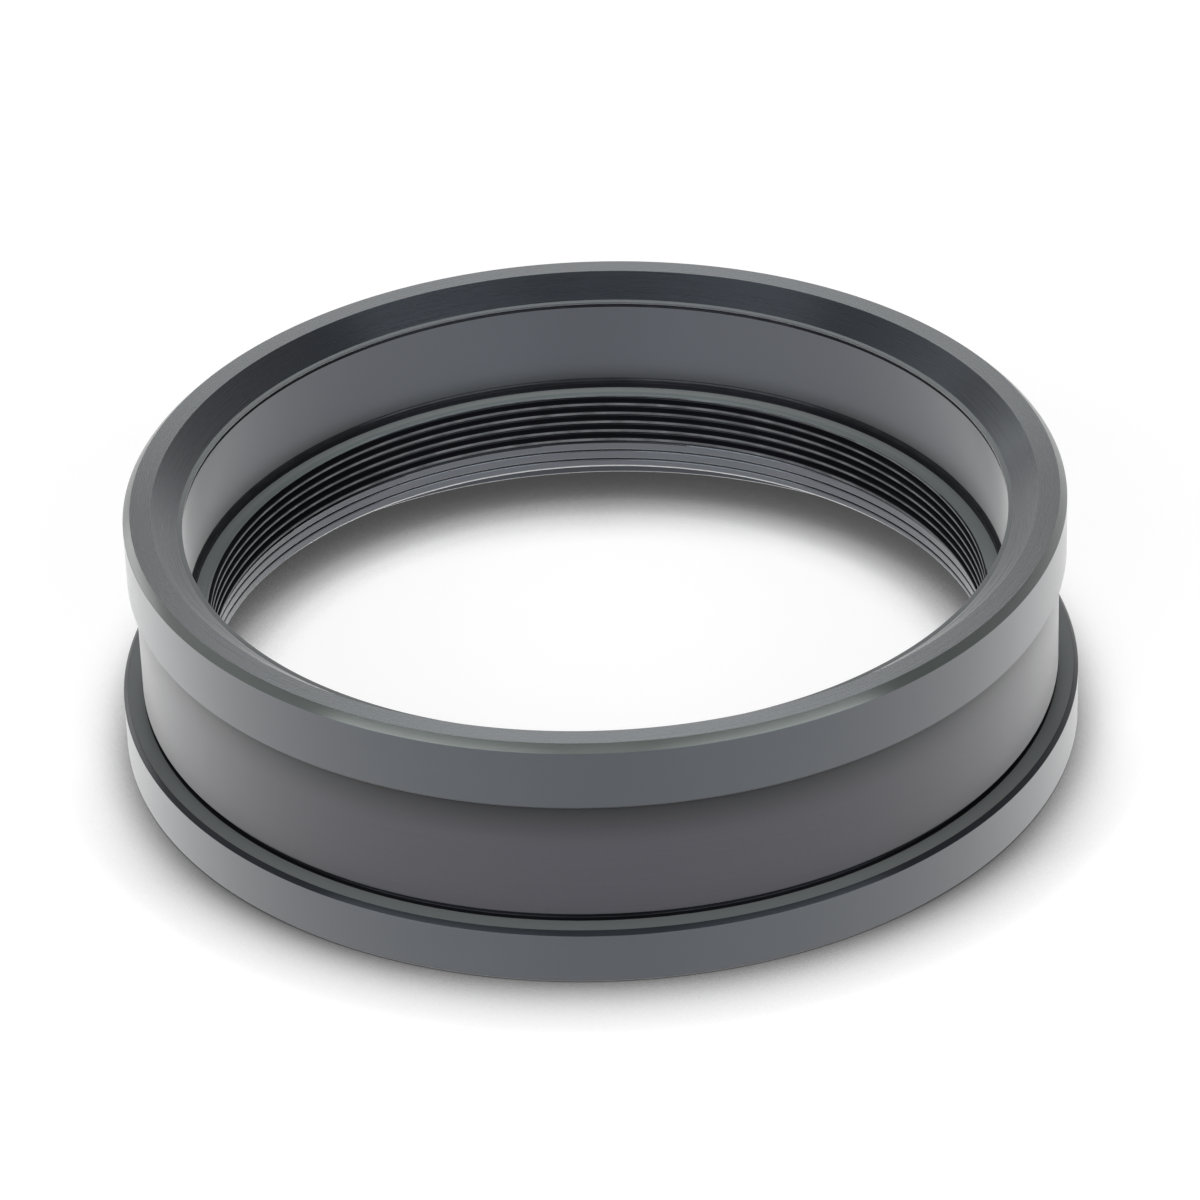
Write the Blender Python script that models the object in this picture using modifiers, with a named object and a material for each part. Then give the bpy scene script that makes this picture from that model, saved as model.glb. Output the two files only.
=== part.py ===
"""Digiscoping adapter ring, turned from one piece of black anodised aluminium.

The ring stands on its lower flange: origin at the centre of the bottom face, +Z up along its axis.
Its section is drawn as one closed outline at +X, in radius and height, and a Screw modifier turns
it round Z. All lengths are in metres. The camera thread is a fine one, so the threaded bore is left
here as a plain bore at the thread's minor diameter.
"""

import math

import bmesh
import bpy

MM = 0.001

# Overall height and the stack of features up the outside
RING_HEIGHT = 18.0 * MM
LOWER_FLANGE_THICKNESS = 4.0 * MM
UPPER_FLANGE_THICKNESS = 4.8 * MM

# Outside diameters
UPPER_FLANGE_DIAMETER = 65.2 * MM
LOWER_FLANGE_DIAMETER = 67.0 * MM
CHANNEL_DIAMETER = 64.2 * MM

# Chamfers and edge breaks of the outside
RIM_CHAMFER = 0.5 * MM
LOWER_FLANGE_CHAMFER = 0.3 * MM
EDGE_BREAK = 0.1 * MM
FOOT_EDGE_BREAK = 0.15 * MM

# Relief groove where the channel's wall meets the lower flange
RELIEF_GROOVE_WIDTH = 0.5 * MM
RELIEF_GROOVE_DEPTH = 0.4 * MM

# Mouth of the eyepiece bore: a wide cone inside the rim, then a small lip
RIM_LAND_INNER_DIAMETER = 61.3 * MM
MOUTH_CONE_LOWER_DIAMETER = 57.8 * MM
MOUTH_CONE_DEPTH = 1.45 * MM
LIP_OVERHANG = 0.05 * MM
LIP_THICKNESS = 0.15 * MM
LIP_GROOVE_WIDTH = 0.25 * MM
LIP_GROOVE_DEPTH = 0.1 * MM

# Eyepiece bore, with a cove and a small step at its foot, down to the shoulder
EYEPIECE_BORE_DIAMETER = 57.2 * MM
EYEPIECE_BORE_DEPTH = 8.5 * MM
COVE_RADIUS = 0.25 * MM
FOOT_STEP_WIDTH = 0.05 * MM
FOOT_STEP_HEIGHT = 0.4 * MM
COVE_SEGMENTS = 3

# Camera thread, M55 x 0.75, and its plain lead-in at the lower end
THREAD_MAJOR_DIAMETER = 55.0 * MM
THREAD_PITCH = 0.75 * MM
MINOR_DEPTH_PER_PITCH = 0.5413
LEAD_IN_CLEARANCE = 0.08 * MM
LEAD_IN_LENGTH = 2.15 * MM
LEAD_IN_CHAMFER = 0.25 * MM

# Recess in the underside that seats the shoulder of the part screwed in from below
RECESS_DIAMETER = 63.8 * MM
RECESS_DEPTH = 3.1 * MM

# Facets round the ring, a multiple of four so that the widest points lie on the axes
TURN_STEPS = 128
MERGE_DISTANCE = 0.00001

# Satin black anodising
ANODISED_COLOUR = (0.035, 0.038, 0.042, 1.0)
ANODISED_METALLIC = 0.6
ANODISED_ROUGHNESS = 0.42


def clear_scene():
    """Remove every object that the scene already holds."""
    for existing in list(bpy.data.objects):
        bpy.data.objects.remove(existing, do_unlink=True)


def outer_outline():
    """Return the outside of the section, from the rim's outer edge down to the foot."""
    rim = UPPER_FLANGE_DIAMETER / 2
    channel = CHANNEL_DIAMETER / 2
    flange = LOWER_FLANGE_DIAMETER / 2
    upper_flange_bottom = RING_HEIGHT - UPPER_FLANGE_THICKNESS
    groove_floor = channel - RELIEF_GROOVE_DEPTH
    land = LOWER_FLANGE_THICKNESS
    return [
        (rim - RIM_CHAMFER, RING_HEIGHT),
        (rim, RING_HEIGHT - RIM_CHAMFER),
        (rim, upper_flange_bottom + EDGE_BREAK),
        (rim - EDGE_BREAK, upper_flange_bottom),
        (channel, upper_flange_bottom),
        (channel, land + RELIEF_GROOVE_WIDTH),
        (groove_floor, land + RELIEF_GROOVE_WIDTH),
        (groove_floor, land),
        (flange - LOWER_FLANGE_CHAMFER, land),
        (flange, land - LOWER_FLANGE_CHAMFER),
        (flange, FOOT_EDGE_BREAK),
        (flange - FOOT_EDGE_BREAK, 0.0),
    ]


def underside_outline():
    """Return the recess and the threaded bore, from the foot's inner edge up to the shoulder."""
    recess = RECESS_DIAMETER / 2
    major = THREAD_MAJOR_DIAMETER / 2
    minor = major - MINOR_DEPTH_PER_PITCH * THREAD_PITCH
    lead_in = major - LEAD_IN_CLEARANCE
    shoulder_height = RING_HEIGHT - EYEPIECE_BORE_DEPTH
    return [
        (recess + FOOT_EDGE_BREAK, 0.0),
        (recess, FOOT_EDGE_BREAK),
        (recess, RECESS_DEPTH),
        (lead_in + LEAD_IN_CHAMFER, RECESS_DEPTH),
        (lead_in, RECESS_DEPTH + LEAD_IN_CHAMFER),
        (lead_in, RECESS_DEPTH + LEAD_IN_LENGTH),
        (minor, RECESS_DEPTH + LEAD_IN_LENGTH),
        (minor, shoulder_height),
    ]


def cove_points(bore, centre_height):
    """Return the quarter-round cove that carries the bore's wall inwards, from its foot up."""
    centre_radius = bore - COVE_RADIUS
    points = []
    for index in range(COVE_SEGMENTS + 1):
        angle = math.radians(-90.0 + 90.0 * index / COVE_SEGMENTS)
        radius = centre_radius + COVE_RADIUS * math.cos(angle)
        height = centre_height + COVE_RADIUS * math.sin(angle)
        points.append((radius, height))
    return points


def eyepiece_bore_outline():
    """Return the eyepiece bore, from the shoulder's outer edge up to the rim's inner edge."""
    bore = EYEPIECE_BORE_DIAMETER / 2
    shoulder_height = RING_HEIGHT - EYEPIECE_BORE_DEPTH
    step_radius = bore - COVE_RADIUS - FOOT_STEP_WIDTH
    step_top = shoulder_height + FOOT_STEP_HEIGHT
    cone_foot = RING_HEIGHT - MOUTH_CONE_DEPTH
    lip_bottom = cone_foot - LIP_THICKNESS
    lip_groove = bore + LIP_GROOVE_DEPTH
    return [
        (step_radius, shoulder_height),
        (step_radius, step_top),
        *cove_points(bore, step_top + COVE_RADIUS),
        (bore, lip_bottom - LIP_GROOVE_WIDTH),
        (lip_groove, lip_bottom - LIP_GROOVE_WIDTH),
        (lip_groove, lip_bottom),
        (bore - LIP_OVERHANG, lip_bottom),
        (bore - LIP_OVERHANG, cone_foot),
        (MOUTH_CONE_LOWER_DIAMETER / 2, cone_foot),
        (RIM_LAND_INNER_DIAMETER / 2, RING_HEIGHT),
    ]


def ring_section():
    """Return the whole closed section, down the outside first and then up the inside."""
    return outer_outline() + underside_outline() + eyepiece_bore_outline()


def profile_mesh(name, outline):
    """Return a mesh of the closed outline, standing in the XZ plane at +X."""
    mesh = bpy.data.meshes.new(name)
    sketch = bmesh.new()
    vertices = [sketch.verts.new((radius, 0.0, height)) for radius, height in outline]
    for index, vertex in enumerate(vertices):
        following = vertices[(index + 1) % len(vertices)]
        sketch.edges.new((vertex, following))
    sketch.to_mesh(mesh)
    sketch.free()
    return mesh


def turn(part):
    """Turn the part's outline once round Z."""
    screw = part.modifiers.new("Turning", "SCREW")
    screw.axis = "Z"
    screw.angle = math.tau
    screw.steps = TURN_STEPS
    screw.render_steps = TURN_STEPS
    screw.use_merge_vertices = True
    screw.merge_threshold = MERGE_DISTANCE
    screw.use_smooth_shade = False


def anodised_aluminium():
    """Return the black anodised finish."""
    material = bpy.data.materials.new("black_anodised_aluminium")
    material.use_nodes = True
    material.diffuse_color = ANODISED_COLOUR
    shader = material.node_tree.nodes["Principled BSDF"]
    shader.inputs["Base Color"].default_value = ANODISED_COLOUR
    shader.inputs["Metallic"].default_value = ANODISED_METALLIC
    shader.inputs["Roughness"].default_value = ANODISED_ROUGHNESS
    return material


def build_ring(collection):
    """Build the turned ring and put it in the collection."""
    mesh = profile_mesh("adapter_ring", ring_section())
    mesh.materials.append(anodised_aluminium())
    ring = bpy.data.objects.new("adapter_ring", mesh)
    collection.objects.link(ring)
    turn(ring)
    return ring


def main():
    """Build the digiscoping adapter ring."""
    clear_scene()
    collection = bpy.data.collections.new("digiscoping_adapter_ring")
    bpy.context.scene.collection.children.link(collection)
    build_ring(collection)


main()
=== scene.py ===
"""Looks of the digiscoping adapter ring.

The ring was turned from one piece of aluminium and black anodised, so it is shown as one closed mesh.
Its section is drawn with small rounds on all its corners and spun round Z. The camera thread is a
Geometry Nodes tree that cuts the helix between the seat in the underside and the shoulder in the bore.
All lengths are in metres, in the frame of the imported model.
"""

import logging
import math
from dataclasses import dataclass, field, replace
from enum import Enum

import bmesh
import bpy
from mathutils import Matrix, Vector


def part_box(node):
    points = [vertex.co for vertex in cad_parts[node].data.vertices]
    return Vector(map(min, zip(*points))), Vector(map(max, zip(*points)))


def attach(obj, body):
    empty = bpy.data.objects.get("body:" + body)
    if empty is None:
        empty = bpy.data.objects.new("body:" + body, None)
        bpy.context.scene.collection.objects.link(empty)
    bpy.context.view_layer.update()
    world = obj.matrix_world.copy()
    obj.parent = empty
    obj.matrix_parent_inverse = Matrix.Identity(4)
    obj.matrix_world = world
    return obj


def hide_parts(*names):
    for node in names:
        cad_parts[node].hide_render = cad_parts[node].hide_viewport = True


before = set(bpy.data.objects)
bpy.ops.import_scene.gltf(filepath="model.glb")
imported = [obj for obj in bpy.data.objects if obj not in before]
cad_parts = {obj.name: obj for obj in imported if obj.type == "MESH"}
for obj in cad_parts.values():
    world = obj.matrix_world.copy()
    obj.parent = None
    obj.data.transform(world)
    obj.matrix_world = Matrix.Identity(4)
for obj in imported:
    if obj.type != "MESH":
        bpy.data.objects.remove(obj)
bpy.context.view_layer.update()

MM = 0.001
NODE = "adapter_ring"
BODY = "root"
CUBIC_CM_PER_CUBIC_M = 1e6
LONGEST_ROUND_SHARE = 0.4
NOISE_LOW, NOISE_HIGH = 0.35, 0.65

logging.basicConfig(level=logging.INFO, format="%(levelname)s %(name)s: %(message)s")
log = logging.getLogger("adapter_ring")


class Finish(Enum):
    """The cut that made a face of the ring, which gives the black anodising its sheen. Some finishes also
    carry painted highlight or painted shade.
    """

    FACED = "faced"
    TURNED = "turned"
    BORED = "bored"
    BEVELLED = "bevelled"
    SHOULDER = "shoulder"
    SHELTERED = "sheltered"
    UNDERCUT = "undercut"
    LAND = "land"
    RIM = "rim"
    FLANGE_BEVEL = "flange_bevel"
    THREADED = "threaded"
    LEAD_IN = "lead_in"


@dataclass(frozen=True)
class AnodisedFinish:
    """Black anodising over one kind of machined face.

    Attributes:
        colour: Colour of the dyed oxide, made lighter on some finishes as a painted highlight.
        wear_and_highlight_colour: Colour of an edge where the oxide is thin, and of the painted highlight on
            the thread's crests.
        roughness: Roughness of the face.
        roughness_spread: How far the turning marks move the roughness.
        brushed: Anisotropy that the turning marks give, from 0 to 1.
        mark_width: Width of one turning mark.
        mark_depth: Depth of the turning marks.
        grain_size: Size of the oxide's grain.
        grain_depth: Depth of the oxide's grain.
        wear_and_highlight: Share of the edges' colour that shows; on the thread's crests it is a painted
            highlight.
        haze: Strength of the pale veil that matt oxide shows at a low angle.
        gloss: Strength of the oxide's own gloss, where 0.5 is that of the plain material.
        gloss_tint: Colour of that gloss when seen straight on.
        painted_shade_height: Height of the corner beside which shade is painted into the face, if there is
            one.
        painted_shade_end_height: Height at which the painted shade has faded out.
    """

    colour: tuple[float, float, float]
    wear_and_highlight_colour: tuple[float, float, float] = (0.14, 0.145, 0.15)
    roughness: float = 0.30
    roughness_spread: float = 0.08
    brushed: float = 0.85
    mark_width: float = 0.11 * MM
    mark_depth: float = 0.0008 * MM
    grain_size: float = 0.14 * MM
    grain_depth: float = 0.0010 * MM
    wear_and_highlight: float = 0.35
    haze: float = 1.0
    gloss: float = 0.5
    gloss_tint: tuple[float, float, float] = (0.80, 0.88, 1.0)
    painted_shade_height: float = 0.0
    painted_shade_end_height: float = 0.0


FINISHES = {
    Finish.FACED: AnodisedFinish(colour=(0.011, 0.014, 0.0145), roughness=0.27, brushed=0.92, haze=0.26,
                                 gloss=0.62, gloss_tint=(0.88, 0.94, 1.0)),
    Finish.TURNED: AnodisedFinish(colour=(0.003, 0.0042, 0.0065), gloss=0.38, wear_and_highlight=0.15),
    # Much lighter than the other chamfers' finishes: a painted highlight on the rim's chamfer.
    Finish.RIM: AnodisedFinish(colour=(0.026, 0.031, 0.029), haze=0.4, gloss_tint=(0.92, 1.0, 0.96)),
    Finish.FLANGE_BEVEL: AnodisedFinish(colour=(0.006, 0.007, 0.009), haze=0.1, gloss=0.09, wear_and_highlight=0.15),
    # The bore's colour fades to black downwards towards the shoulder: painted shade at the foot of the bore.
    Finish.BORED: AnodisedFinish(colour=(0.018, 0.019, 0.025), mark_depth=0.0003 * MM, gloss=0.45,
                                 painted_shade_height=10.2 * MM, painted_shade_end_height=11.6 * MM),
    Finish.BEVELLED: AnodisedFinish(colour=(0.002, 0.0035, 0.0055), roughness=0.28, haze=0.4,
                                    mark_depth=0.0005 * MM, gloss=0.45, gloss_tint=(0.74, 0.85, 1.0)),
    # Much lighter than the faces round it: a painted highlight on the shoulder in the bore.
    Finish.SHOULDER: AnodisedFinish(colour=(0.070, 0.083, 0.080), roughness=0.5, brushed=0.5, haze=0.6),
    # Lighter than the faced flats: a painted highlight on the lip's top and the lower flange's land.
    Finish.LAND: AnodisedFinish(colour=(0.040, 0.047, 0.045), roughness=0.4, haze=0.4, gloss=0.3),
    # The channel's colour fades to black upwards towards the upper flange: painted shade under the flange.
    Finish.SHELTERED: AnodisedFinish(colour=(0.029, 0.028, 0.035), gloss=0.06, mark_depth=0.0003 * MM,
                                     haze=0.85, painted_shade_height=13.2 * MM, painted_shade_end_height=9.8 * MM),
    # Dark and dull, without sheen: painted shade in the grooves, the cove and the foot step.
    Finish.UNDERCUT: AnodisedFinish(colour=(0.003, 0.003, 0.004), haze=0.0, gloss=0.12, wear_and_highlight=0.15),
    # Its edge mark covers every crest, so the edges' colour there is a painted highlight along the crests.
    Finish.THREADED: AnodisedFinish(colour=(0.003, 0.003, 0.004), brushed=0.3, haze=0.0, gloss=0.10,
                                    wear_and_highlight=0.85),
    Finish.LEAD_IN: AnodisedFinish(colour=(0.034, 0.035, 0.041), wear_and_highlight=0.1),
}


@dataclass(frozen=True)
class Corner:
    """A corner of the ring's section.

    Attributes:
        radius: Distance from the axis.
        height: Height above the foot.
        finish: Finish of the face that leads from this corner to the next.
        rounding: Radius of the small round on the corner.
    """

    radius: float
    height: float
    finish: Finish
    rounding: float = 0.03 * MM


@dataclass(frozen=True)
class Station:
    """A point of the rounded section.

    Attributes:
        radius: Distance from the axis.
        height: Height above the foot.
        edge: 1 in the middle of a rounded corner and 0 on a plain face.
        finish: Finish of the face that leads from this point to the next.
    """

    radius: float
    height: float
    edge: float
    finish: Finish


def rounded_section(corners: list[Corner], segments: int) -> list[Station]:
    """Round the corners of an open section.

    Args:
        corners: The section's corners in order. The first and the last stay sharp.
        segments: Number of facets on each rounded corner.

    Returns:
        The section's points in order.
    """
    first = corners[0]
    stations = [Station(first.radius, first.height, 0.0, first.finish)]
    for before, corner, after in zip(corners, corners[1:], corners[2:]):
        point = Vector((corner.radius, corner.height))
        arriving = point - Vector((before.radius, before.height))
        leaving = Vector((after.radius, after.height)) - point
        turn = arriving.angle(leaving)
        room = LONGEST_ROUND_SHARE * min(arriving.length, leaving.length)
        reach = min(corner.rounding * math.tan(turn / 2), room)
        if reach == 0.0:
            stations.append(Station(corner.radius, corner.height, 0.0, corner.finish))
            continue
        start = point - arriving.normalized() * reach
        end = point + leaving.normalized() * reach
        for index in range(segments + 1):
            share = index / segments
            on_curve = start.lerp(point, share).lerp(point.lerp(end, share), share)
            edge = 4.0 * share * (1.0 - share)
            stations.append(Station(on_curve.x, on_curve.y, edge, corner.finish))
    last = corners[-1]
    stations.append(Station(last.radius, last.height, 0.0, last.finish))
    return stations


class NodeTree:
    """Short-hand for building a node tree with its links."""

    def __init__(self, tree: bpy.types.NodeTree) -> None:
        """Keep the tree to build in."""
        self.tree = tree

    def node(self, kind: str, **settings: object) -> bpy.types.Node:
        """Add a node.

        Args:
            kind: The node's type.
            settings: Values of the node's own properties.

        Returns:
            The new node.
        """
        made = self.tree.nodes.new(kind)
        for name, value in settings.items():
            setattr(made, name, value)
        return made

    def feed(self, socket: bpy.types.NodeSocket, source: object) -> None:
        """Link a socket to another one, or set its value.

        Args:
            socket: The input to feed.
            source: An output socket, or a plain value.
        """
        if isinstance(source, bpy.types.NodeSocket):
            self.tree.links.new(source, socket)
        else:
            socket.default_value = source

    def maths(self, operation: str, *sources: object) -> bpy.types.NodeSocket:
        """Add a maths node on up to three sources, and return its result."""
        made = self.node("ShaderNodeMath", operation=operation)
        for socket, source in zip(made.inputs, sources):
            self.feed(socket, source)
        return made.outputs[0]

    def vector(self, x: object, y: object, z: object) -> bpy.types.NodeSocket:
        """Join three values to a vector, and return it."""
        made = self.node("ShaderNodeCombineXYZ")
        for socket, source in zip(made.inputs, (x, y, z)):
            self.feed(socket, source)
        return made.outputs[0]

    def split(self, source: bpy.types.NodeSocket) -> tuple[bpy.types.NodeSocket, ...]:
        """Split a vector, and return its three values."""
        made = self.node("ShaderNodeSeparateXYZ")
        self.feed(made.inputs[0], source)
        return tuple(made.outputs)

    def scaled(self, source: object, factor: object) -> bpy.types.NodeSocket:
        """Scale a colour, and return it."""
        made = self.node("ShaderNodeVectorMath", operation="SCALE")
        self.feed(made.inputs[0], source)
        self.feed(made.inputs["Scale"], factor)
        return made.outputs[0]

    def ramp(self, value: object, start: object, end: object, low: object = 0.0, high: object = 1.0,
             **settings: object) -> bpy.types.NodeSocket:
        """Map a value to a range, and hold it at the range's ends.

        Args:
            value: The value to map.
            start: The value that gives the low result.
            end: The value that gives the high result.
            low: The result at the start.
            high: The result at the end.
            settings: Values of the node's own properties.

        Returns:
            The mapped value.
        """
        made = self.node("ShaderNodeMapRange", clamp=True, **settings)
        names = ("Value", "From Min", "From Max", "To Min", "To Max")
        for name, source in zip(names, (value, start, end, low, high)):
            self.feed(made.inputs[name], source)
        return made.outputs["Result"]

    def place(self) -> bpy.types.NodeSocket:
        """Return the place on the object as a vector."""
        return self.node("ShaderNodeTexCoord").outputs["Object"]

    def noise(self, place: object, scale: object, detail: float) -> bpy.types.NodeSocket:
        """Add a noise texture at a place, and return its value."""
        made = self.node("ShaderNodeTexNoise")
        for name, source in zip(("Vector", "Scale", "Detail"), (place, scale, detail)):
            self.feed(made.inputs[name], source)
        return made.outputs["Fac"]

    def group(self, tree: bpy.types.NodeTree, **values: float) -> bpy.types.NodeSocket:
        """Place a shared group with its own values, and return its output."""
        made = self.node("ShaderNodeGroup", node_tree=tree)
        for name, value in values.items():
            made.inputs[name].default_value = value
        return made.outputs[0]

    def add_inputs(self, kinds: dict[str, str]) -> dict[str, bpy.types.NodeSocket]:
        """Give the tree named inputs.

        Args:
            kinds: Socket type of each input, by its name.

        Returns:
            The group input's socket for each name.
        """
        for name, kind in kinds.items():
            self.tree.interface.new_socket(name=name, in_out="INPUT", socket_type=kind)
        entry = self.node("NodeGroupInput")
        return {name: entry.outputs[name] for name in kinds}

    def add_outputs(self, results: dict[str, tuple[str, bpy.types.NodeSocket]]) -> None:
        """Give the tree named outputs.

        Args:
            results: Socket type and source of each output, by its name.
        """
        for name, (kind, _) in results.items():
            self.tree.interface.new_socket(name=name, in_out="OUTPUT", socket_type=kind)
        leave = self.node("NodeGroupOutput")
        for name, (_, source) in results.items():
            self.tree.links.new(source, leave.inputs[name])


FLOAT = "NodeSocketFloat"
INTEGER = "NodeSocketInt"
GEOMETRY = "NodeSocketGeometry"
MATERIAL = "NodeSocketMaterial"


@dataclass
class CameraThread:
    """The internal camera thread, a Geometry Nodes tree that adds its surface to the turned body.

    Attributes:
        major_radius: Radius at the thread's roots.
        pitch: Distance from one turn to the next.
        depth_per_pitch: Depth of the thread for each unit of pitch.
        crest_share: Width of the flat crest as a share of the pitch.
        root_share: Width of the flat root as a share of the pitch.
        crest_height_behind: Height of one crest at the far side, on +Y.
        lead_in_clearance: How far the cut-back lower turns stay inside the major radius.
        lead_in_length: Height of the cut-back stretch above the seat.
        lead_in_chamfer: Chamfer at the thread's lower end.
        seam_radius: Radius at which the thread's surface meets the shoulder.
        rows: Rows of faces on one pitch.
        weld_distance: Gap that is closed where the thread's surface meets the body.
        tolerance: How far a point may lie off a surface and still count as part of it.
    """

    major_radius: float = 27.5 * MM
    pitch: float = 0.75 * MM
    depth_per_pitch: float = 0.5413
    crest_share: float = 0.25
    root_share: float = 0.125
    crest_height_behind: float = 7.25 * MM
    lead_in_clearance: float = 0.08 * MM
    lead_in_length: float = 2.15 * MM
    lead_in_chamfer: float = 0.25 * MM
    seam_radius: float = 27.75 * MM
    rows: int = 16
    weld_distance: float = 0.001 * MM
    tolerance: float = 0.01 * MM

    @property
    def minor_radius(self) -> float:
        """Radius at the thread's crests."""
        return self.major_radius - self.depth_per_pitch * self.pitch

    @property
    def lead_in_radius(self) -> float:
        """Radius of the cut-back lower turns."""
        return self.major_radius - self.lead_in_clearance

    @property
    def mouth_radius(self) -> float:
        """Radius at the chamfer's lower edge."""
        return self.lead_in_radius + self.lead_in_chamfer

    def tree(self) -> bpy.types.NodeTree:
        """Build the tree that cuts the thread.

        Returns:
            A Geometry Nodes tree that takes the open body and puts out the closed ring.
        """
        tree = bpy.data.node_groups.new("camera_thread", "GeometryNodeTree")
        tree.is_modifier = True
        net = NodeTree(tree)
        given = net.add_inputs({
            "Body": GEOMETRY,
            "Turn Steps": INTEGER,
            "Rows per Pitch": INTEGER,
            "Pitch": FLOAT,
            "Major Radius": FLOAT,
            "Minor Radius": FLOAT,
            "Crest Share": FLOAT,
            "Root Share": FLOAT,
            "Crest Height": FLOAT,
            "Lower End": FLOAT,
            "Upper End": FLOAT,
            "Lead-in Radius": FLOAT,
            "Lead-in Top": FLOAT,
            "Lead-in Chamfer": FLOAT,
            "Seam Radius": FLOAT,
            "Thread Finish": MATERIAL,
            "Lead-in Finish": MATERIAL,
            "Shoulder Finish": MATERIAL,
        })
        span = net.maths("SUBTRACT", given["Upper End"], given["Lower End"])
        pitches = net.maths("ADD", net.maths("CEIL", net.maths("DIVIDE", span, given["Pitch"])), 1.0)
        row_count = net.maths("MULTIPLY", pitches, given["Rows per Pitch"])
        grid = net.node("GeometryNodeMeshGrid")
        net.feed(grid.inputs["Size X"], 1.0)
        net.feed(grid.inputs["Size Y"], 1.0)
        net.feed(grid.inputs["Vertices X"], net.maths("ADD", given["Turn Steps"], 1.0))
        net.feed(grid.inputs["Vertices Y"], net.maths("ADD", row_count, 1.0))

        along, across, _ = net.split(net.node("GeometryNodeInputPosition").outputs[0])
        turn = net.maths("ADD", along, 0.5)
        row = net.maths("ADD", across, 0.5)
        risen = net.maths("ADD", net.maths("SUBTRACT", net.maths("MULTIPLY", row, pitches), 1.0), turn)
        raw = net.maths("MULTIPLY_ADD", risen, given["Pitch"], given["Lower End"])
        height = net.maths("MINIMUM", net.maths("MAXIMUM", raw, given["Lower End"]), given["Upper End"])

        radius = self._profile(net, given, turn, height)
        last_row = net.maths("GREATER_THAN", net.maths("MULTIPLY", row, row_count),
                             net.maths("SUBTRACT", row_count, 0.5))
        outward = net.maths("SUBTRACT", given["Seam Radius"], radius)
        radius = net.maths("MULTIPLY_ADD", last_row, outward, radius)
        angle = net.maths("MULTIPLY", turn, math.tau)
        place = net.vector(
            net.maths("MULTIPLY", radius, net.maths("COSINE", angle)),
            net.maths("MULTIPLY", radius, net.maths("SINE", angle)),
            height,
        )
        cut = net.node("GeometryNodeSetPosition")
        net.feed(cut.inputs["Geometry"], grid.outputs["Mesh"])
        net.feed(cut.inputs["Position"], place)
        surface = self._dressed(net, given, cut.outputs[0])

        both = net.node("GeometryNodeJoinGeometry")
        tree.links.new(surface, both.inputs[0])
        tree.links.new(given["Body"], both.inputs[0])
        merged = net.node("GeometryNodeMergeByDistance")
        net.feed(merged.inputs["Geometry"], both.outputs[0])
        net.feed(merged.inputs["Distance"], self.weld_distance)
        plain = net.node("GeometryNodeRealizeInstances")
        net.feed(plain.inputs[0], merged.outputs[0])
        result = plain.outputs[0]
        for mark, finish in (("thread", "Thread Finish"), ("lead_in", "Lead-in Finish"),
                             ("shoulder", "Shoulder Finish")):
            chosen = net.node("GeometryNodeInputNamedAttribute", data_type="BOOLEAN")
            net.feed(chosen.inputs["Name"], mark)
            finished = net.node("GeometryNodeSetMaterial")
            net.feed(finished.inputs["Geometry"], result)
            net.feed(finished.inputs["Selection"], chosen.outputs["Attribute"])
            net.feed(finished.inputs["Material"], given[finish])
            result = finished.outputs[0]
        net.add_outputs({"Ring": (GEOMETRY, result)})
        return tree

    def _profile(self, net: NodeTree, given: dict[str, bpy.types.NodeSocket], turn: bpy.types.NodeSocket,
                 height: bpy.types.NodeSocket) -> bpy.types.NodeSocket:
        """Work out the thread's radius.

        Args:
            net: The tree to build in.
            given: The tree's inputs.
            turn: Share of a turn from +X.
            height: Height above the foot.

        Returns:
            The radius of the surface there.
        """
        above = net.maths("DIVIDE", net.maths("SUBTRACT", height, given["Crest Height"]), given["Pitch"])
        phase = net.maths("SUBTRACT", above, turn)
        nearest = net.maths("ROUND", phase)
        distance = net.maths("ABSOLUTE", net.maths("SUBTRACT", phase, nearest))
        crest_end = net.maths("MULTIPLY", given["Crest Share"], 0.5)
        root_start = net.maths("SUBTRACT", 0.5, net.maths("MULTIPLY", given["Root Share"], 0.5))
        flank = net.ramp(distance, crest_end, root_start, given["Minor Radius"], given["Major Radius"])
        over_top = net.maths("SUBTRACT", height, given["Lead-in Top"])
        cone = net.maths("SUBTRACT", given["Lead-in Radius"], net.maths("MAXIMUM", over_top, 0.0))
        over_end = net.maths("SUBTRACT", height, given["Lower End"])
        mouth = net.maths("ADD", given["Lead-in Radius"], given["Lead-in Chamfer"])
        chamfer = net.maths("SUBTRACT", mouth, over_end)
        cut_back = net.maths("MAXIMUM", cone, chamfer)
        return net.maths("MAXIMUM", flank, cut_back)

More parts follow.
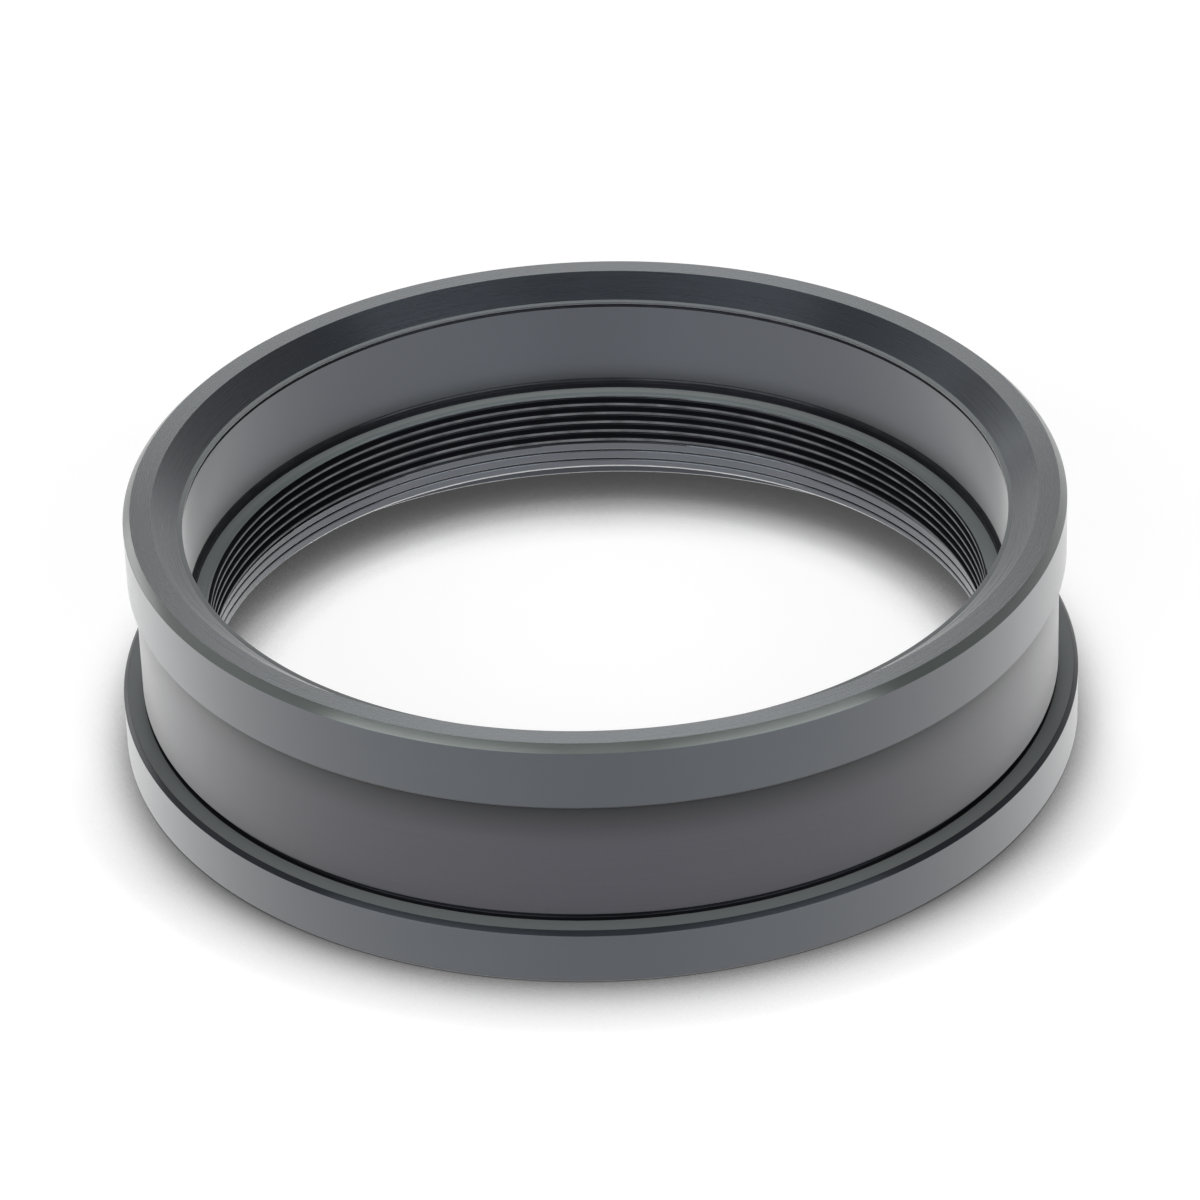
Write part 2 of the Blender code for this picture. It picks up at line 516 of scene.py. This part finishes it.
    def _dressed(self, net: NodeTree, given: dict[str, bpy.types.NodeSocket],
                 surface: bpy.types.NodeSocket) -> bpy.types.NodeSocket:
        """Turn the surface's faces into the bore, and mark it for its material.

        Args:
            net: The tree to build in.
            given: The tree's inputs.
            surface: The thread's surface.

        Returns:
            The surface with its marks.
        """
        inward = net.node("GeometryNodeFlipFaces")
        net.feed(inward.inputs["Mesh"], surface)
        x, y, z = net.split(net.node("GeometryNodeInputPosition").outputs[0])
        radius = net.maths("SQRT", net.maths("ADD", net.maths("MULTIPLY", x, x), net.maths("MULTIPLY", y, y)))
        on_top = net.maths("GREATER_THAN", z, net.maths("SUBTRACT", given["Upper End"], self.tolerance))
        below_top = net.maths("SUBTRACT", 1.0, on_top)
        on_crest = net.maths("LESS_THAN", radius, net.maths("ADD", given["Minor Radius"], self.tolerance))
        crest = net.maths("MULTIPLY", on_crest, below_top)
        in_lead = net.maths("LESS_THAN", z, given["Lead-in Top"])
        shallow = net.maths("LESS_THAN", radius,
                            net.maths("ADD", given["Lead-in Radius"], 2 * self.tolerance))
        at_mouth = net.maths("LESS_THAN", z, net.maths("ADD", given["Lower End"], given["Lead-in Chamfer"]))
        cut_back = net.maths("MULTIPLY", in_lead, net.maths("MAXIMUM", shallow, at_mouth))
        # The crests are stored as edges, so the edge mark paints a highlight along them.
        marks = (("edge", "FLOAT", "POINT", crest), ("across", "FLOAT", "POINT", z),
                 ("thread", "BOOLEAN", "FACE", True), ("lead_in", "BOOLEAN", "FACE", cut_back),
                 ("shoulder", "BOOLEAN", "FACE", on_top))
        result = inward.outputs[0]
        for name, kind, domain, value in marks:
            store = net.node("GeometryNodeStoreNamedAttribute", data_type=kind, domain=domain)
            net.feed(store.inputs["Geometry"], result)
            net.feed(store.inputs["Name"], name)
            net.feed(store.inputs["Value"], value)
            result = store.outputs[0]
        smooth = net.node("GeometryNodeSetShadeSmooth")
        net.feed(smooth.inputs[0], result)
        return smooth.outputs[0]

    def add_to(self, ring: bpy.types.Object, steps: int, lower_end: float, upper_end: float,
               materials: dict[Finish, bpy.types.Material]) -> None:
        """Give the turned body the thread's modifier.

        Args:
            ring: The open body.
            steps: Facets round the ring.
            lower_end: Height of the seat where the thread starts.
            upper_end: Height of the shoulder where it ends.
            materials: The material of each finish.
        """
        tree = self.tree()
        modifier = ring.modifiers.new("Camera thread", "NODES")
        modifier.node_group = tree
        quarter_turn_rise = self.pitch / 4
        values = {
            "Turn Steps": steps,
            "Rows per Pitch": self.rows,
            "Pitch": self.pitch,
            "Major Radius": self.major_radius,
            "Minor Radius": self.minor_radius,
            "Crest Share": self.crest_share,
            "Root Share": self.root_share,
            "Crest Height": self.crest_height_behind - quarter_turn_rise,
            "Lower End": lower_end,
            "Upper End": upper_end,
            "Lead-in Radius": self.lead_in_radius,
            "Lead-in Top": lower_end + self.lead_in_length,
            "Lead-in Chamfer": self.lead_in_chamfer,
            "Seam Radius": self.seam_radius,
            "Thread Finish": materials[Finish.THREADED],
            "Lead-in Finish": materials[Finish.LEAD_IN],
            "Shoulder Finish": materials[Finish.SHOULDER],
        }
        for item in tree.interface.items_tree:
            if item.in_out == "INPUT" and item.name in values:
                modifier[item.identifier] = values[item.name]


@dataclass
class TurnedRing:
    """The ring: its section, spun round the axis, with the camera thread cut in its bore.

    The sizes are those of the part's source. The overall height and diameter are read from the frame.
    The relief groove runs round the channel's foot. The rim land is the flat top face, and the mouth's
    cone leads down from it to the lip and the lip's groove. The cove and the foot step are at the foot
    of the bore. The steps are the facets round the ring, and the segments those on a corner or the cove.
    """

    upper_flange_diameter: float = 65.2 * MM
    channel_diameter: float = 64.2 * MM
    upper_flange_thickness: float = 4.8 * MM
    lower_flange_thickness: float = 4.0 * MM
    rim_chamfer: float = 0.5 * MM
    lower_flange_chamfer: float = 0.3 * MM
    edge_break: float = 0.1 * MM
    foot_edge_break: float = 0.15 * MM
    relief_groove_width: float = 0.5 * MM
    relief_groove_depth: float = 0.4 * MM
    rim_land_inner_diameter: float = 61.3 * MM
    mouth_cone_lower_diameter: float = 57.8 * MM
    mouth_cone_depth: float = 1.45 * MM
    lip_overhang: float = 0.05 * MM
    lip_thickness: float = 0.15 * MM
    lip_groove_width: float = 0.25 * MM
    lip_groove_depth: float = 0.1 * MM
    eyepiece_bore_diameter: float = 57.2 * MM
    eyepiece_bore_depth: float = 8.5 * MM
    cove_radius: float = 0.25 * MM
    cove_rounding: float = 0.01 * MM
    foot_step_width: float = 0.05 * MM
    foot_step_height: float = 0.4 * MM
    recess_diameter: float = 63.8 * MM
    recess_depth: float = 3.1 * MM
    steps: int = 320
    corner_segments: int = 3
    cove_segments: int = 6
    seam_distance: float = 0.0001 * MM
    thread: CameraThread = field(default_factory=CameraThread)

    def __post_init__(self) -> None:
        """Read the overall sizes from the frame."""
        low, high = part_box(NODE)
        self.height = high.z - low.z
        self.lower_flange_diameter = high.x - low.x
        self.shoulder_height = self.height - self.eyepiece_bore_depth

    def bore_corners(self) -> list[Corner]:
        """Return the corners from the thread's upper end up the eyepiece bore to the rim."""
        bore = self.eyepiece_bore_diameter / 2
        step = bore - self.cove_radius - self.foot_step_width
        step_top = self.shoulder_height + self.foot_step_height
        cove_centre = step_top + self.cove_radius
        cone_foot = self.height - self.mouth_cone_depth
        lip_bottom = cone_foot - self.lip_thickness
        groove_bottom = lip_bottom - self.lip_groove_width
        groove = bore + self.lip_groove_depth
        lip = bore - self.lip_overhang
        cove = []
        for index in range(self.cove_segments + 1):
            angle = math.radians(-90.0 + 90.0 * index / self.cove_segments)
            radius = bore - self.cove_radius + self.cove_radius * math.cos(angle)
            height = cove_centre + self.cove_radius * math.sin(angle)
            # The cove takes the undercut finish, painted shade at the foot of the bore.
            cove.append(Corner(radius, height, Finish.UNDERCUT, self.cove_rounding))
        cove[-1] = replace(cove[-1], finish=Finish.BORED)
        return [
            # The shoulder takes the much lighter shoulder finish, a painted highlight.
            Corner(self.thread.seam_radius, self.shoulder_height, Finish.SHOULDER),
            # The foot step, the cove and the lip's groove take the undercut finish, painted shade in these
            # recesses.
            Corner(step, self.shoulder_height, Finish.UNDERCUT),
            Corner(step, step_top, Finish.UNDERCUT),
            *cove,
            Corner(bore, groove_bottom, Finish.UNDERCUT),
            Corner(groove, groove_bottom, Finish.UNDERCUT),
            Corner(groove, lip_bottom, Finish.UNDERCUT),
            Corner(lip, lip_bottom, Finish.BORED),
            # The lip's top takes the lighter land finish, a painted highlight.
            Corner(lip, cone_foot, Finish.LAND),
            Corner(self.mouth_cone_lower_diameter / 2, cone_foot, Finish.BEVELLED),
            Corner(self.rim_land_inner_diameter / 2, self.height, Finish.FACED),
        ]

    def outer_corners(self) -> list[Corner]:
        """Return the corners from the rim's outer edge down to the foot."""
        rim = self.upper_flange_diameter / 2
        channel = self.channel_diameter / 2
        flange = self.lower_flange_diameter / 2
        flange_bottom = self.height - self.upper_flange_thickness
        groove_floor = channel - self.relief_groove_depth
        land = self.lower_flange_thickness
        return [
            # The rim's chamfer takes the lighter rim finish, a painted highlight.
            Corner(rim - self.rim_chamfer, self.height, Finish.RIM),
            Corner(rim, self.height - self.rim_chamfer, Finish.TURNED),
            Corner(rim, flange_bottom + self.edge_break, Finish.FLANGE_BEVEL),
            Corner(rim - self.edge_break, flange_bottom, Finish.FACED),
            Corner(channel, flange_bottom, Finish.SHELTERED),
            # The relief groove takes the undercut finish, painted shade in the groove.
            Corner(channel, land + self.relief_groove_width, Finish.UNDERCUT),
            Corner(groove_floor, land + self.relief_groove_width, Finish.UNDERCUT),
            Corner(groove_floor, land, Finish.UNDERCUT),
            # The lower flange's land takes the lighter land finish, a painted highlight.
            Corner(channel, land, Finish.LAND, 0.0),
            Corner(flange - self.lower_flange_chamfer, land, Finish.FLANGE_BEVEL),
            Corner(flange, land - self.lower_flange_chamfer, Finish.TURNED),
            Corner(flange, self.foot_edge_break, Finish.FLANGE_BEVEL),
            Corner(flange - self.foot_edge_break, 0.0, Finish.FACED),
        ]

    def underside_corners(self) -> list[Corner]:
        """Return the corners from the foot's inner edge to the thread's lower end."""
        recess = self.recess_diameter / 2
        return [
            Corner(recess + self.foot_edge_break, 0.0, Finish.BORED),
            Corner(recess, self.foot_edge_break, Finish.BORED),
            Corner(recess, self.recess_depth, Finish.FACED),
            Corner(self.thread.mouth_radius, self.recess_depth, Finish.FACED),
        ]

    def body(self) -> bpy.types.Mesh:
        """Spin the rounded section round the axis.

        Returns:
            The body's mesh, open where the thread goes, with its edges and finishes marked.
        """
        corners = self.bore_corners() + self.outer_corners() + self.underside_corners()
        stations = rounded_section(corners, self.corner_segments)
        spun = bmesh.new()
        edge = spun.verts.layers.float.new("edge")
        across = spun.verts.layers.float.new("across")
        order = spun.verts.layers.int.new("order")
        travelled = 0.0
        line = []
        for index, station in enumerate(stations):
            vertex = spun.verts.new((station.radius, 0.0, station.height))
            if line:
                travelled += (vertex.co - line[-1].co).length
            vertex[edge] = station.edge
            vertex[across] = travelled
            vertex[order] = index
            line.append(vertex)
        edges = [spun.edges.new(pair) for pair in zip(line, line[1:])]
        bmesh.ops.spin(spun, geom=line + edges, cent=(0.0, 0.0, 0.0), axis=(0.0, 0.0, 1.0),
                       angle=math.tau, steps=self.steps)
        bmesh.ops.remove_doubles(spun, verts=spun.verts, dist=self.seam_distance)
        finishes = list(Finish)
        for face in spun.faces:
            first = min(vertex[order] for vertex in face.verts)
            face.material_index = finishes.index(stations[first].finish)
            face.smooth = True
        mesh = bpy.data.meshes.new("turned_body")
        spun.to_mesh(mesh)
        spun.free()
        return mesh

    def build(self, materials: dict[Finish, bpy.types.Material]) -> bpy.types.Object:
        """Build the finished ring.

        Args:
            materials: The material of each finish.

        Returns:
            The ring as one closed mesh at the origin.
        """
        mesh = self.body()
        for finish in Finish:
            mesh.materials.append(materials[finish])
        ring = bpy.data.objects.new("turned_ring", mesh)
        bpy.context.scene.collection.objects.link(ring)
        self.thread.add_to(ring, self.steps, self.recess_depth, self.shoulder_height, materials)
        ring.modifiers.new("Even shading", "WEIGHTED_NORMAL").mode = "FACE_AREA"
        settle(ring)
        return ring


def settle(piece: bpy.types.Object) -> None:
    """Turn a piece's modifiers into a plain mesh, and remove them."""
    graph = bpy.context.evaluated_depsgraph_get()
    plain = bpy.data.meshes.new_from_object(piece.evaluated_get(graph), depsgraph=graph)
    piece.modifiers.clear()
    piece.data = plain
    plain.name = piece.name


def check_closed(piece: bpy.types.Object) -> None:
    """Report whether a piece is one closed mesh with its faces outwards."""
    shape = bmesh.new()
    shape.from_mesh(piece.data)
    loose = sum(1 for edge in shape.edges if len(edge.link_faces) != 2)
    volume = shape.calc_volume(signed=True)
    log.info("%s: %d faces, %d open edges, %.2f cm3", piece.name, len(shape.faces), loose,
             volume * CUBIC_CM_PER_CUBIC_M)
    shape.free()


def turning_marks() -> bpy.types.NodeTree:
    """Build the shader group of the fine marks that turning leaves.

    Returns:
        A group that puts out the marks as a value from 0 to 1.
    """
    tree = bpy.data.node_groups.new("turning_marks", "ShaderNodeTree")
    net = NodeTree(tree)
    given = net.add_inputs({"Width": FLOAT, "Run": FLOAT})
    across = net.node("ShaderNodeAttribute", attribute_name="across")
    x, y, _ = net.split(net.place())
    spot = net.vector(
        net.maths("DIVIDE", across.outputs["Fac"], given["Width"]),
        net.maths("DIVIDE", x, given["Run"]),
        net.maths("DIVIDE", y, given["Run"]),
    )
    net.add_outputs({"Marks": (FLOAT, net.noise(spot, scale=1.0, detail=2.0))})
    return tree


def oxide_grain() -> bpy.types.NodeTree:
    """Build the shader group of the oxide's fine grain.

    Returns:
        A group that puts out the grain as a value from 0 to 1.
    """
    tree = bpy.data.node_groups.new("oxide_grain", "ShaderNodeTree")
    net = NodeTree(tree)
    given = net.add_inputs({"Size": FLOAT})
    noise = net.noise(net.place(), scale=net.maths("DIVIDE", 1.0, given["Size"]), detail=3.0)
    net.add_outputs({"Grain": (FLOAT, noise)})
    return tree


def edge_wear_and_crest_highlight(patch_size: float, weakest_patch_share: float) -> bpy.types.NodeTree:
    """Build the shader group of the rubbed edges and of the painted highlight on the thread's crests.

    Args:
        patch_size: Size of the patches that are rubbed more or less.
        weakest_patch_share: Strength of the mark on the weakest patch, where 1 is the strongest one.

    Returns:
        A group that puts out the edge wear and the crests' painted highlight as a mask from 0 to 1.
    """
    tree = bpy.data.node_groups.new("edge_wear_and_crest_highlight", "ShaderNodeTree")
    net = NodeTree(tree)
    given = net.add_inputs({"Amount": FLOAT})
    edge = net.node("ShaderNodeAttribute", attribute_name="edge")
    noise = net.noise(net.place(), scale=1.0 / patch_size, detail=2.0)
    patches = net.ramp(noise, NOISE_LOW, NOISE_HIGH, low=weakest_patch_share)
    mask = net.maths("MULTIPLY", net.maths("MULTIPLY", edge.outputs["Fac"], patches), given["Amount"])
    net.add_outputs({"Mask": (FLOAT, mask)})
    return tree


@dataclass
class FinishShop:
    """Makes the material of each finish from the shared groups.

    Attributes:
        oxide_ior: Refractive index of the sealed oxide.
        mark_run: Length of a turning mark along the cut.
        tone_spread: How far grain and marks move the colour.
        haze_roughness: How far from the edge of sight the haze reaches.
        patch_size: Size of the patches in the edges' wear and the crests' painted highlight.
        weakest_patch_share: Strength of the mark on the weakest patch, where 1 is the strongest one.
        gloss_turn: Turn of the stretched gloss against the cut, as a share of a full turn.
        bump_distance: Scale of the heights in the bump, where 1 takes them in metres.
    """

    oxide_ior: float = 1.8
    mark_run: float = 9.0 * MM
    tone_spread: float = 0.25
    haze_roughness: float = 0.48
    patch_size: float = 1.5 * MM
    weakest_patch_share: float = 0.5
    gloss_turn: float = 0.25
    bump_distance: float = 1.0

    def __post_init__(self) -> None:
        """Build the shared groups once."""
        self.marks = turning_marks()
        self.grain = oxide_grain()
        self.wear_and_highlight = edge_wear_and_crest_highlight(self.patch_size, self.weakest_patch_share)

    def painted_shade(self, net: NodeTree, finish: AnodisedFinish,
                 colour: bpy.types.NodeSocket) -> bpy.types.NodeSocket:
        """Paint shade into a colour beside a corner.

        Args:
            net: The tree to build in.
            finish: The finish, with the heights of its painted shade.
            colour: The colour to paint the shade into.

        Returns:
            The colour with its painted shade, or the colour itself where the finish has none.
        """
        if finish.painted_shade_height == finish.painted_shade_end_height:
            return colour
        # Painted shade: the colour is scaled from black at the corner up to full where the shade ends.
        _, _, height = net.split(net.place())
        fade = net.ramp(height, finish.painted_shade_height, finish.painted_shade_end_height, interpolation_type="SMOOTHSTEP")
        return net.scaled(colour, fade)

    def material(self, kind: Finish, finish: AnodisedFinish) -> bpy.types.Material:
        """Make one finish's material.

        Args:
            kind: The finish's name.
            finish: The finish's values.

        Returns:
            The material.
        """
        material = bpy.data.materials.new(f"black_anodised_{kind.value}")
        material.use_nodes = True
        net = NodeTree(material.node_tree)
        shader = material.node_tree.nodes["Principled BSDF"]
        marks = net.group(self.marks, Width=finish.mark_width, Run=self.mark_run)
        grain = net.group(self.grain, Size=finish.grain_size)
        wear_and_highlight = net.group(self.wear_and_highlight, Amount=finish.wear_and_highlight)

        both = net.maths("SUBTRACT", net.maths("ADD", marks, grain), 1.0)
        tone = net.maths("MULTIPLY_ADD", both, self.tone_spread, 1.0)
        dyed = net.scaled(finish.colour, tone)
        # Mixes in the edges' colour: wear on the rounded corners, and a painted highlight on the thread's
        # crests.
        colour = net.node("ShaderNodeMix", data_type="RGBA")
        net.feed(colour.inputs["Factor"], wear_and_highlight)
        net.feed(colour.inputs["A"], self.painted_shade(net, finish, dyed))
        net.feed(colour.inputs["B"], (*finish.wear_and_highlight_colour, 1.0))
        net.feed(shader.inputs["Base Color"], colour.outputs["Result"])

        spread = net.maths("MULTIPLY", net.maths("SUBTRACT", marks, 0.5), finish.roughness_spread)
        net.feed(shader.inputs["Roughness"], net.maths("ADD", spread, finish.roughness))

        ridges = net.maths("MULTIPLY", marks, finish.mark_depth)
        height = net.maths("MULTIPLY_ADD", grain, finish.grain_depth, ridges)
        bump = net.node("ShaderNodeBump")
        net.feed(bump.inputs["Height"], height)
        bump.inputs["Distance"].default_value = self.bump_distance
        net.feed(shader.inputs["Normal"], bump.outputs["Normal"])

        shader.inputs["IOR"].default_value = self.oxide_ior
        shader.inputs["Specular IOR Level"].default_value = finish.gloss
        shader.inputs["Specular Tint"].default_value = (*finish.gloss_tint, 1.0)
        shader.inputs["Sheen Weight"].default_value = finish.haze
        shader.inputs["Sheen Roughness"].default_value = self.haze_roughness
        shader.inputs["Anisotropic"].default_value = finish.brushed
        shader.inputs["Anisotropic Rotation"].default_value = self.gloss_turn
        round_axis = net.node("ShaderNodeTangent", direction_type="RADIAL", axis="Z")
        net.feed(shader.inputs["Tangent"], round_axis.outputs["Tangent"])
        return material

    def make(self) -> dict[Finish, bpy.types.Material]:
        """Make all the materials, by finish."""
        return {kind: self.material(kind, finish) for kind, finish in FINISHES.items()}


@dataclass(frozen=True)
class SoftBox:
    """A softbox that faces the ring.

    Attributes:
        name: The box's name, after where it stands.
        azimuth: Direction from the ring in degrees, 0 behind it and 90 at its right.
        elevation: Height of that direction above the floor in degrees.
        width: Width of the box.
        height: Height of the box.
        radiance: Brightness of its face, where 1 is white.
        distance: Distance from the ring.
    """

    name: str
    azimuth: float
    elevation: float
    width: float
    height: float
    radiance: float
    distance: float = 0.7

    def build(self, target: Vector) -> None:
        """Put the softbox in the scene, facing the target."""
        lamp = bpy.data.lights.new(self.name, "AREA")
        lamp.shape = "RECTANGLE"
        lamp.size = self.width
        lamp.size_y = self.height
        lamp.energy = self.radiance * math.pi * self.width * self.height
        box = bpy.data.objects.new(self.name, lamp)
        turn, rise = math.radians(self.azimuth), math.radians(self.elevation)
        away = Vector((math.sin(turn) * math.cos(rise), math.cos(turn) * math.cos(rise), math.sin(rise)))
        facing = away.to_track_quat("Z", "Y").to_matrix().to_4x4()
        box.matrix_world = Matrix.Translation(target + away * self.distance) @ facing
        bpy.context.scene.collection.objects.link(box)


@dataclass
class Studio:
    """The floor, the lights and the camera of the photograph.

    Attributes:
        focal_pixels: The camera's focal length in pixels of the image.
        image_pixels: Width of the image in pixels.
        sensor_width: Width of the camera's sensor in millimetres.
        clip_start: Distance from which the camera sees.
        clip_end: Distance up to which it sees.
        elevation: The camera's height above the horizon in degrees.
        roll: The camera's roll in degrees.
        distance: The camera's distance from the ring's foot.
        shift_right: How far the ring's foot lies from the image's centre, to the right.
        shift_up: The same upwards.
        floor_size: Side of the square floor.
        paper: Share of the light that the floor's paper gives back.
        paper_seen: The same as the camera and the metal see it.
        glow: White that the camera and the metal see on top of it.
        contact_samples: Rays that each look at the floor casts for the ring's contact shadow.
        contact_reach: How far that shadow reaches.
        contact_clear: Openness of the floor's sky at which the shadow ends.
        contact_side_clear: The same at the ring's sides, where the shadow is narrower.
        contact_side: How far to the side of the ring's axis it has become that narrow.
        contact_level: Share of the floor's brightness left in the deepest shadow.
        contact_slope: How steeply the shadow deepens towards the ring.
        contact_gain: How much is added to that slope in front of the ring.
        contact_front: How far in front of the ring's axis the whole of it is added.
        horizon_level: Brightness of the world near the horizon.
        ceiling_level: Brightness of the world overhead.
        ceiling_start: Elevation in degrees where the world starts to darken.
        ceiling_end: Elevation in degrees where it is as dark as overhead.
        aim_height: Height that the softboxes face.
        boxes: The softboxes.
    """

    focal_pixels: float = 6080.5
    image_pixels: float = 1200.0
    sensor_width: float = 36.0
    clip_start: float = 10.0 * MM
    clip_end: float = 20.0
    elevation: float = 32.113
    roll: float = 2.067
    distance: float = 429.56 * MM
    shift_right: float = 0.143 * MM
    shift_up: float = -7.410 * MM
    floor_size: float = 6.0
    paper: float = 0.8
    paper_seen: float = 0.2
    glow: float = 0.84
    contact_samples: int = 6
    contact_reach: float = 6.5 * MM
    contact_clear: float = 0.93
    contact_side_clear: float = 0.8
    contact_side: float = 18.0 * MM
    contact_level: float = 0.07
    contact_slope: float = 2.25
    contact_gain: float = 1.0
    contact_front: float = 20.0 * MM
    horizon_level: float = 1.0
    ceiling_level: float = 0.1
    ceiling_start: float = 7.0
    ceiling_end: float = 21.0
    aim_height: float = 9.0 * MM
    boxes: list[SoftBox] = field(default_factory=lambda: [
        SoftBox("back_box", 0.0, 53.0, 0.24, 0.50, 2.35),
        SoftBox("back_low_box", 0.0, 30.0, 0.24, 0.20, 0.6),
        SoftBox("front_left_box", -141.0, 31.0, 0.62, 0.30, 6.8),
        SoftBox("front_right_box", 141.0, 31.0, 0.62, 0.30, 6.4),
        SoftBox("front_high_box", 180.0, 46.0, 0.16, 0.12, 5.0),
        SoftBox("left_back_box", -50.0, 8.0, 0.30, 0.16, 2.7),
        SoftBox("left_high_box", -84.0, 33.0, 0.60, 0.24, 0.7),
    ])

    def add_camera(self) -> None:
        """Place the camera of the photograph."""
        rise, roll = math.radians(self.elevation), math.radians(self.roll)
        right = Vector((1.0, 0.0, 0.0))
        up = Vector((0.0, math.sin(rise), math.cos(rise)))
        back = Vector((0.0, -math.cos(rise), math.sin(rise)))
        turned_right = right * math.cos(roll) - up * math.sin(roll)
        turned_up = right * math.sin(roll) + up * math.cos(roll)
        place = back * self.distance - turned_right * self.shift_right - turned_up * self.shift_up
        data = bpy.data.cameras.new("camera")
        data.sensor_width = self.sensor_width
        data.lens = self.sensor_width * self.focal_pixels / self.image_pixels
        data.clip_start = self.clip_start
        data.clip_end = self.clip_end
        camera = bpy.data.objects.new("camera", data)
        axes = Matrix((turned_right, turned_up, back)).transposed().to_4x4()
        camera.matrix_world = Matrix.Translation(place) @ axes
        bpy.context.scene.collection.objects.link(camera)
        bpy.context.scene.camera = camera

    def _contact(self, net: NodeTree) -> bpy.types.NodeSocket:
        """Work out the ring's contact shadow on the floor.

        Args:
            net: The floor's material.

        Returns:
            The share of the floor's brightness that is left there.
        """
        near = net.node("ShaderNodeAmbientOcclusion", samples=self.contact_samples)
        net.feed(near.inputs["Distance"], self.contact_reach)
        x, y, _ = net.split(net.place())
        front = net.ramp(y, 0.0, -self.contact_front)
        side = net.ramp(net.maths("ABSOLUTE", x), 0.0, self.contact_side)
        narrowing = net.maths("MULTIPLY", side, net.maths("SUBTRACT", 1.0, front))
        clear = net.maths("MULTIPLY_ADD", narrowing, self.contact_side_clear - self.contact_clear,
                          self.contact_clear)
        openness = net.maths("MINIMUM", net.maths("DIVIDE", near.outputs["AO"], clear), 1.0)
        slope = net.maths("MULTIPLY_ADD", front, self.contact_gain, self.contact_slope)
        return net.maths("MAXIMUM", net.maths("POWER", openness, slope), self.contact_level)

    def add_floor(self) -> None:
        """Lay the pale floor."""
        shape = bmesh.new()
        bmesh.ops.create_grid(shape, x_segments=1, y_segments=1, size=self.floor_size / 2)
        mesh = bpy.data.meshes.new("floor")
        shape.to_mesh(mesh)
        shape.free()
        floor = bpy.data.objects.new("floor", mesh)
        bpy.context.scene.collection.objects.link(floor)
        material = bpy.data.materials.new("white_paper")
        material.use_nodes = True
        net = NodeTree(material.node_tree)
        material.node_tree.nodes.remove(material.node_tree.nodes["Principled BSDF"])
        path = net.node("ShaderNodeLightPath")
        direct = path.outputs["Is Camera Ray"]
        mirrored = net.maths("MAXIMUM", path.outputs["Is Glossy Ray"], path.outputs["Is Transmission Ray"])
        seen = net.maths("MAXIMUM", direct, mirrored)
        shade = net.node("ShaderNodeMix", data_type="FLOAT")
        net.feed(shade.inputs["Factor"], seen)
        net.feed(shade.inputs["A"], self.paper)
        net.feed(shade.inputs["B"], self.paper_seen)
        cover = net.maths("SUBTRACT", 1.0, self._contact(net))
        kept = net.maths("SUBTRACT", 1.0, net.maths("MULTIPLY", direct, cover))
        paper = net.node("ShaderNodeBsdfDiffuse")
        net.feed(paper.inputs["Color"], net.maths("MULTIPLY", shade.outputs["Result"], kept))
        glow = net.node("ShaderNodeEmission")
        glow_level = net.maths("MULTIPLY", seen, self.glow)
        net.feed(glow.inputs["Strength"], net.maths("MULTIPLY", glow_level, kept))
        lit = net.node("ShaderNodeAddShader")
        net.feed(lit.inputs[0], paper.outputs[0])
        net.feed(lit.inputs[1], glow.outputs[0])
        below = net.node("ShaderNodeNewGeometry")
        clear = net.node("ShaderNodeBsdfTransparent")
        either = net.node("ShaderNodeMixShader")
        net.feed(either.inputs[0], below.outputs["Backfacing"])
        net.feed(either.inputs[1], lit.outputs[0])
        net.feed(either.inputs[2], clear.outputs[0])
        net.feed(material.node_tree.nodes["Material Output"].inputs["Surface"], either.outputs[0])
        mesh.materials.append(material)

    def add_world(self) -> None:
        """Give the world a white horizon under a dark ceiling."""
        world = bpy.data.worlds.new("studio")
        world.use_nodes = True
        net = NodeTree(world.node_tree)
        background = world.node_tree.nodes["Background"]
        place = net.node("ShaderNodeTexCoord")
        _, _, up = net.split(place.outputs["Generated"])
        start, end = math.radians(self.ceiling_start), math.radians(self.ceiling_end)
        fade = net.ramp(up, math.sin(start), math.sin(end), self.horizon_level, self.ceiling_level)
        background.inputs["Color"].default_value = (1.0, 1.0, 1.0, 1.0)
        net.feed(background.inputs["Strength"], fade)
        bpy.context.scene.world = world

    def build(self) -> None:
        """Set up the whole studio."""
        self.add_camera()
        self.add_floor()
        self.add_world()
        for box in self.boxes:
            box.build(Vector((0.0, 0.0, self.aim_height)))
        bpy.context.scene.view_settings.view_transform = "Standard"


def main() -> None:
    """Build the ring and its studio."""
    materials = FinishShop().make()
    ring = TurnedRing().build(materials)
    check_closed(ring)
    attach(ring, BODY)
    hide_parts(NODE)
    log.info("built %s", ring.name)
    Studio().build()
    log.info("built the studio")


if __name__ == "__main__":
    main()
